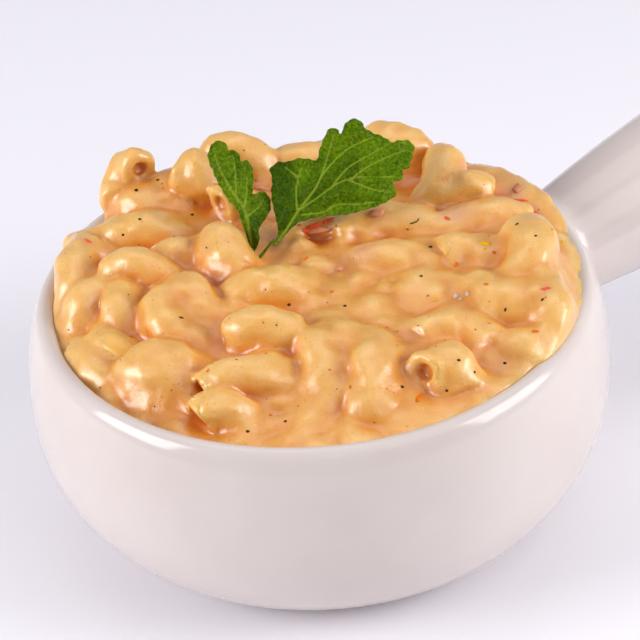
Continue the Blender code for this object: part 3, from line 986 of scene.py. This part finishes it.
LEAF_LEAN = 34.0               # the blades lean away from the eater
LEAF_CELL = 0.3
LEAF_SIZE = 0.955               # outlines to millimetres
RIGHT_FOOT = (-10.0, 5.0, 62.5)
LEFT_FOOT = (-12.5, 5.0, 62.5)
RIGHT_SWAY = -4.7               # turn of each blade in its own plane
LEFT_SWAY = -7.2
LEAF_THICKNESS = 0.3
STEM_LENGTH = 5.0
STEM_RADIUS = 0.55
TOOTH_PITCH = 2.4
TOOTH_DEPTH = 0.30

# Outlines and veins in the plane of the blade, from the foot: u to the right and v up the blade
RIGHT_OUTLINE = (
    (1.9, 1.6), (3.1, 4.4), (2.5, 8.3), (1.6, 13.0), (1.8, 16.7), (1.3, 19.0), (3.0, 20.5), (5.2, 20.6),
    (8.3, 21.4), (12.1, 21.0), (12.7, 23.2), (14.0, 26.6), (15.4, 28.4), (16.8, 28.0), (17.4, 26.0), (17.3, 24.0),
    (17.8, 26.4), (18.4, 28.8), (19.9, 30.4), (22.0, 30.2), (23.0, 28.6), (25.0, 27.4), (27.4, 26.5), (29.4, 25.2),
    (31.2, 25.6), (33.4, 25.6), (34.6, 24.2), (33.9, 21.6), (33.4, 19.6), (31.7, 18.6), (31.8, 16.8),
    (29.6, 16.0), (30.2, 13.2), (27.5, 11.2), (24.3, 10.0), (19.0, 8.6), (13.1, 8.1), (8.3, 6.9), (6.0, 5.2),
    (4.4, 3.4), (2.9, 1.4),
)
RIGHT_VEINS = (
    ((2.3, 1.4), (4.8, 4.6), (7.8, 9.4), (11.5, 14.2), (14.0, 18.4), (19.0, 23.5), (25.0, 26.4)),
    ((7.6, 9.0), (7.3, 13.0), (7.7, 16.6), (8.6, 19.4)),
    ((7.8, 17.0), (4.6, 19.6)),
    ((7.8, 9.4), (12.0, 12.2), (17.6, 16.0), (23.5, 17.2), (30.6, 17.0)),
    ((8.6, 8.4), (13.6, 9.0), (16.4, 10.6), (22.3, 10.9), (26.0, 11.3)),
    ((15.2, 14.4), (18.8, 18.8), (22.4, 21.2), (29.0, 25.0)),
    ((13.0, 17.0), (14.6, 22.0), (16.0, 27.0)),
    ((20.0, 16.6), (25.0, 20.2), (33.0, 23.6)),
    ((19.5, 16.4), (25.0, 14.2), (29.4, 13.4)),
)
LEFT_OUTLINE = (
    (-9.9, 24.9), (-11.1, 23.5), (-11.3, 21.2), (-10.1, 18.4), (-8.9, 16.0), (-7.3, 13.4), (-5.9, 11.5),
    (-4.2, 9.9), (-3.3, 7.8), (-2.4, 5.2), (-1.6, 3.3), (-0.7, 0.6), (0.2, 0.2), (1.2, 2.8), (0.9, 5.2),
    (2.1, 7.5), (3.1, 9.4), (3.3, 11.3), (2.5, 13.4), (1.0, 14.0), (-0.6, 13.0), (-1.1, 11.4),
    (-1.0, 14.1), (-1.0, 17.8), (-1.9, 20.6), (-3.3, 20.8), (-4.0, 18.4), (-4.0, 20.9), (-4.9, 23.0),
    (-6.3, 23.2), (-6.9, 21.6), (-7.2, 23.9), (-8.5, 25.2),
)
LEFT_VEINS = (
    ((-0.3, 0.2), (-1.2, 5.0), (-2.6, 9.8), (-5.6, 14.0), (-8.4, 18.6), (-10.2, 23.0)),
    ((-2.6, 9.8), (-2.4, 14.0), (-2.5, 19.0)),
    ((-2.0, 8.0), (0.6, 10.4), (1.8, 12.6)),
    ((-4.6, 12.8), (-5.0, 17.0), (-5.6, 21.6)),
)


def curve_through(points, steps, closed):
    """A smooth line through the points (Catmull-Rom), as an array."""
    points = np.array(points, float)
    count = len(points)
    spans = count if closed else count - 1
    line = []
    for span in range(spans):
        picks = [span - 1, span, span + 1, span + 2]
        picks = [pick % count if closed else min(max(pick, 0), count - 1) for pick in picks]
        a, b, c, d = points[picks]
        for step in range(steps):
            t = step / steps
            line.append(0.5 * (2 * b + (c - a) * t + (2 * a - 5 * b + 4 * c - d) * t ** 2 + (3 * b - a - 3 * c + d) * t ** 3))
    if not closed:
        line.append(points[-1])
    return np.array(line)


def nearest_on(line, spots, closed):
    """Distance of each spot from a line, the nearest point on it and how far along that is, 0 to 1."""
    start = line if closed else line[:-1]
    run = (np.roll(line, -1, 0) if closed else line[1:]) - start
    apart = spots[:, None, :] - start[None]
    share = np.clip((apart * run).sum(2) / np.maximum((run * run).sum(1), 1e-9), 0.0, 1.0)
    touch = start[None] + share[:, :, None] * run[None]
    distance = np.hypot(*(spots[:, None, :] - touch).transpose(2, 0, 1))
    pick = distance.argmin(1)
    rows = np.arange(len(spots))
    return distance[rows, pick], touch[rows, pick], (pick + share[rows, pick]) / len(start)


def within(line, spots):
    """Which spots lie inside a closed line."""
    inside = np.zeros(len(spots), bool)
    for (ax, ay), (bx, by) in zip(line, np.roll(line, -1, 0)):
        if ay != by:
            crossing = (ay > spots[:, 1]) != (by > spots[:, 1])
            inside ^= crossing & (spots[:, 0] < ax + (spots[:, 1] - ay) * (bx - ax) / (by - ay))
    return inside


def serrated(line):
    """Small pointed teeth along a blade's edge, fading towards the foot."""
    run = np.roll(line, -1, 0) - np.roll(line, 1, 0)
    outward = np.stack([run[:, 1], -run[:, 0]], 1) / np.hypot(run[:, 0], run[:, 1])[:, None]
    if within(line, line[:1] + outward[:1] * 0.2)[0]:
        outward = -outward
    along = np.cumsum(np.hypot(*(line - np.roll(line, 1, 0)).T))
    tooth = 1.0 - np.abs(np.mod(along / TOOTH_PITCH, 1.0) * 2.0 - 1.0) ** 0.8
    fade = np.clip((np.hypot(line[:, 0], line[:, 1]) - 5.0) / 6.0, 0.0, 1.0)
    return line + outward * (tooth * fade * TOOTH_DEPTH)[:, None]


def blade(outline, veins):
    """Grid of a leaf blade: points in its plane, faces, distance from the veins and a vein tint."""
    edge = serrated(curve_through(outline, 12, True))
    low, high = edge.min(0) - LEAF_CELL, edge.max(0) + LEAF_CELL
    u = np.arange(low[0], high[0] + LEAF_CELL, LEAF_CELL)
    v = np.arange(low[1], high[1] + LEAF_CELL, LEAF_CELL)
    spots = np.stack(np.meshgrid(u, v, indexing="ij"), 2).reshape(-1, 2)
    inside = within(edge, spots)
    distance, touch, _ = nearest_on(edge, spots, True)
    pulled = ~inside & (distance < LEAF_CELL * 0.99)
    spots[pulled] = touch[pulled]
    kept = (inside | pulled).reshape(len(u), len(v))
    ids = np.arange(len(spots)).reshape(len(u), len(v))
    whole = kept[:-1, :-1] & kept[1:, :-1] & kept[1:, 1:] & kept[:-1, 1:]
    quads = np.stack([ids[:-1, :-1][whole], ids[1:, :-1][whole], ids[1:, 1:][whole], ids[:-1, 1:][whole]], 1)
    used = np.unique(quads)
    again = np.full(len(spots), -1)
    again[used] = np.arange(len(used))
    spots = spots[used]
    ridge = np.full(len(spots), 9.0)
    tint = np.zeros(len(spots))
    for index, vein in enumerate(veins):
        away, _, along = nearest_on(curve_through(vein, 6, False), spots, False)
        width = (0.26 if index == 0 else 0.17) * (1.15 - 0.70 * along)
        ridge = np.minimum(ridge, away)
        tint = np.maximum(tint, np.clip(1.6 - away / width, 0.0, 1.0))
    rim, _, _ = nearest_on(edge, spots, True)
    return spots, again[quads], ridge, tint, rim


def leaf_piece(name, foot, plan, height, shade, finish, replaced):
    """A parsley blade standing on its foot, with its relief along the blade's normal."""
    outline, veins, sway = plan
    spots, quads, ridge, tint, rim = blade(outline, veins)
    lean = radians(LEAF_LEAN)
    upward = np.array((0.0, sin(lean), cos(lean)))
    toward = np.array((0.0, -cos(lean), sin(lean)))
    leaf_shade = np.clip(shade(spots[:, 0], spots[:, 1]), 0.0, 1.0)
    quilt = 0.55 * (1.0 - np.exp(-((ridge / 1.5) ** 2)))
    flutter = 0.35 * np.sin(spots[:, 0] * 0.9 + spots[:, 1] * 0.5) * np.exp(-rim / 2.0)
    out = height(spots[:, 0], spots[:, 1]) + quilt + flutter
    sway = radians(sway)
    spots = spots @ np.array(((cos(sway), sin(sway)), (-sin(sway), cos(sway)))) * LEAF_SIZE
    points = np.array(foot) + spots[:, :1] * np.array((1.0, 0.0, 0.0)) + spots[:, 1:] * upward + out[:, None] * toward
    made = mesh_piece(name, points, quads, finish)
    point_values(made.data, "vein", tint)
    point_values(made.data, "leaf_shade", leaf_shade)
    thick = made.modifiers.new("thick", "SOLIDIFY")
    thick.thickness = LEAF_THICKNESS * MM
    thick.offset = 0.0
    apply_modifiers(made)
    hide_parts(replaced)
    return made


def make_stems(finish):
    """The short stalks by which the two blades stand in the sauce."""
    points, faces = [], []
    sides, rings = 10, 9
    for foot, aside, top in ((RIGHT_FOOT, 0.95, 2.2), (LEFT_FOOT, -0.05, 0.8)):
        first = len(points)
        for ring in range(rings):
            share = ring / (rings - 1)
            height = top - STEM_LENGTH * (1.0 - share)
            radius = STEM_RADIUS * (1.0 - 0.45 * share)
            middle = (foot[0] + aside * height, foot[1] + 0.62 * height, foot[2] + 0.85 * height)
            for side in range(sides):
                turn = 2.0 * pi * side / sides
                points.append((middle[0] + radius * cos(turn), middle[1] + radius * sin(turn), middle[2]))
        for ring in range(rings - 1):
            near, far = first + ring * sides, first + (ring + 1) * sides
            for side in range(sides):
                after = (side + 1) % sides
                faces.append((near + side, near + after, far + after, far + side))
        faces.append(tuple(first + side for side in range(sides))[::-1])
        faces.append(tuple(first + (rings - 1) * sides + side for side in range(sides)))
    return mesh_piece("parsley_stems", points, faces, finish)


def apply_modifiers(piece):
    shape = bpy.context.evaluated_depsgraph_get()
    done = bpy.data.meshes.new_from_object(piece.evaluated_get(shape))
    piece.modifiers.clear()
    piece.data = done
    done.shade_smooth()


def right_height(u, v):
    """The right blade folds back left of its left vein and rolls at its lower right."""
    fold = np.minimum(0.0, u - 7.4) * 0.25
    roll = 0.010 * (u - 14.0) ** 2 * np.where(u > 14.0, 1.0, 0.0) * np.cos(v * 0.16 - 1.2)
    step = 1.3 / (1.0 + np.exp((v - 0.62 * u - 9.5) / 0.9))
    return fold + roll + step - 1.0


def right_shade(u, v):
    """Painted shade on the right blade: darkest on its folded-back left flap and along the middle fold."""
    flap = 1.0 / (1.0 + np.exp((u - 7.0) / 0.5)) * (v > 5.0)
    middle = 0.75 * np.exp(-(((v - 0.55 * u - 7.0) / 4.0) ** 2)) * (u < 22.0)
    return np.maximum(flap, middle)


# Painted shade on the left blade: darker on its lower part, right of its main vein.
def left_shade(u, v):
    return 0.9 / (1.0 + np.exp((v - 9.0) / 1.0)) * (u > -1.2)


def left_height(u, v):
    """The left blade is folded along its main vein."""
    spine = -2.6 - 0.50 * (v - 9.8)
    return -0.55 * np.abs(u - spine) + 0.6


# ---------------------------------------------------------------- camera, light, floor

CAMERA_LENS = 164.0
CAMERA_DISTANCE = 650.0
CAMERA_RISE = 34.2
CAMERA_ROLL = -4.73
CAMERA_AIM = (0.9, 0.0, 46.3)


def make_camera():
    data = bpy.data.cameras.new("camera")
    data.lens = CAMERA_LENS
    data.sensor_width = 36.0
    made = link(bpy.data.objects.new("camera", data))
    rise, roll = radians(CAMERA_RISE), radians(CAMERA_ROLL)
    forward = Vector((0.0, cos(rise), -sin(rise)))
    right = Vector((1.0, 0.0, 0.0))
    up = right.cross(forward)
    side = right * cos(roll) + up * sin(roll)
    top = up * cos(roll) - right * sin(roll)
    place = Vector(CAMERA_AIM) - forward * CAMERA_DISTANCE
    basis = Matrix((side, top, -forward)).transposed().to_4x4()
    made.matrix_world = TURN @ Matrix.Translation(place * MM) @ basis
    data.clip_end = 10.0
    bpy.context.scene.camera = made


def area_light(name, place, aim, size, power, color):
    data = bpy.data.lights.new(name, "AREA")
    data.shape = "RECTANGLE"
    data.size, data.size_y = size
    data.energy = power
    data.color = color
    made = link(bpy.data.objects.new(name, data))
    where = TURN @ Vector(place)
    look = (TURN @ Vector(aim)) - where
    made.rotation_euler = look.to_track_quat("-Z", "Y").to_euler()
    made.location = where
    return made


def make_studio():
    scene = bpy.context.scene
    scene.view_settings.view_transform = "Standard"
    scene.view_settings.look = "None"
    world = bpy.data.worlds.new("studio")
    world.use_nodes = True
    scene.world = world
    tree = world.node_tree
    back = tree.nodes["Background"]
    where = tree.nodes.new("ShaderNodeTexCoord")
    facing = tree.nodes.new("ShaderNodeVectorMath")
    facing.operation = "DOT_PRODUCT"
    facing.inputs[1].default_value = (TURN @ Vector((0.0, -1.0, 0.0)))[:]
    tree.links.new(where.outputs["Generated"], facing.inputs[0])
    dim = tree.nodes.new("ShaderNodeValToRGB")
    dim.color_ramp.elements[0].position = 0.0
    dim.color_ramp.elements[0].color = (0.92, 0.90, 0.98, 1.0)
    dim.color_ramp.elements[1].position = 0.85
    dim.color_ramp.elements[1].color = (0.22, 0.21, 0.22, 1.0)
    tree.links.new(facing.outputs["Value"], dim.inputs["Fac"])
    tree.links.new(dim.outputs["Color"], back.inputs["Color"])
    back.inputs["Strength"].default_value = 0.36
    aim = (0.0, 0.0, 0.03)
    area_light("left_box", (-0.87, -0.24, 0.42), aim, (0.60, 0.50), 7.5, (1.0, 0.985, 0.975))
    area_light("right_box", (0.87, -0.24, 0.42), aim, (0.60, 0.50), 6.4, (1.0, 0.985, 0.975))
    area_light("top_box", (0.0, 0.25, 0.95), aim, (0.8, 0.6), 1.6, (0.98, 0.98, 1.0))
    area_light("fill_box", (0.42, -0.42, 0.75), aim, (0.60, 0.60), 1.35, (1.0, 0.985, 0.975))
    area_light("front_box", (0.05, -0.75, 0.62), aim, (0.07, 0.07), 0.12, (1.0, 0.99, 0.98))
    floor = bpy.data.meshes.new("floor")
    half = 4.0
    floor.from_pydata([(-half, -half, 0), (half, -half, 0), (half, half, 0), (-half, half, 0)], [], [(0, 1, 2, 3)])
    made = link(bpy.data.objects.new("floor", floor))
    floor.materials.append(cloth_material())


make_camera()
make_studio()
make_crock(glaze_material())
ELBOWS = list(SHOWN) + buried()
sauce_look = sauce_material()
sauce_points, surface = make_sauce(ELBOWS, sauce_look)
make_core(sauce_look)
make_macaroni(ELBOWS, pasta_material())

draw = np.random.default_rng(SEED + 2)
red = plain_material("red_pepper", (0.900, 0.075, 0.020), (0.960, 0.200, 0.070), 2.0, 0.30)
pink = plain_material("pink_shreds", (0.700, 0.270, 0.140), (0.790, 0.380, 0.210), 2.0, 0.32)
orange = plain_material("orange_flecks", (0.740, 0.120, 0.006), (0.820, 0.240, 0.010), 1.0, 0.35)
yellow = plain_material("yellow_flecks", (0.900, 0.400, 0.005), (0.930, 0.500, 0.012), 1.0, 0.35)
grey = plain_material("grey_pearls", (0.560, 0.380, 0.270), (0.740, 0.540, 0.400), 1.0, 0.25)
black = plain_material("black_pepper", (0.030, 0.012, 0.003), (0.150, 0.060, 0.016), 0.4, 0.80)
herb = plain_material("herb", (0.060, 0.090, 0.006), (0.140, 0.160, 0.020), 0.6, 0.45)
make_bits("red_pepper", RED_PEPPER, red, surface, draw, 0.45)
make_bits("pink_shreds", PINK_SHREDS, pink, surface, draw, -0.2)
make_bits("orange_flecks", list(ORANGE_FLECKS) + strewn(sauce_points, 26, 0.14, 0.28, draw), orange, surface, draw)
make_bits("yellow_flecks", YELLOW_FLECKS, yellow, surface, draw, 0.4)
make_bits("grey_pearls", GREY_PEARLS, grey, surface, draw)
make_bits("black_pepper", list(BLACK_PEPPER) + strewn(sauce_points, 120, 0.08, 0.22, draw), black, surface, draw)
make_bits("herb", list(HERB) + strewn(sauce_points, 10, 0.15, 0.30, draw), herb, surface, draw)

leaf = leaf_material()
make_stems(leaf)
leaf_piece("parsley_right", RIGHT_FOOT, (RIGHT_OUTLINE, RIGHT_VEINS, RIGHT_SWAY), right_height, right_shade, leaf, "parsley_leaf_right")
leaf_piece("parsley_left", LEFT_FOOT, (LEFT_OUTLINE, LEFT_VEINS, LEFT_SWAY), left_height, left_shade, leaf, "parsley_leaf_left")
